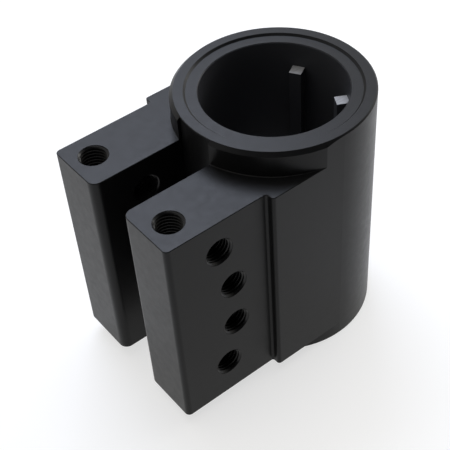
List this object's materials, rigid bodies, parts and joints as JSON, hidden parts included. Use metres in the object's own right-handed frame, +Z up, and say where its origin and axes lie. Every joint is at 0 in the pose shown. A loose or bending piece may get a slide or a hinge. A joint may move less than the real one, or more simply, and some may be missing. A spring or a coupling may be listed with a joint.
{
  "type": "scooter steering tube clamp",
  "caption": "One-piece dark metal clamp: a tall round collar with two split arms, cross-threaded screw holes in the arms and an upright threaded hole in each arm's top.",
  "frame": {"origin": "on the steering tube's axis, in the plane of the collar's underside, on which the part stands", "axes": "+Z up along the steering tube, the two arms reach toward -Y, and X runs across the slot; X = 0 is the plane of symmetry"},
  "size_m": [0.053, 0.0793, 0.075],
  "materials": {
    "anodised": "black anodised over a fine bead blast, satin"
  },
  "bodies": {
    "root": {"clamp": "anodised"}
  },
  "joints": []
}
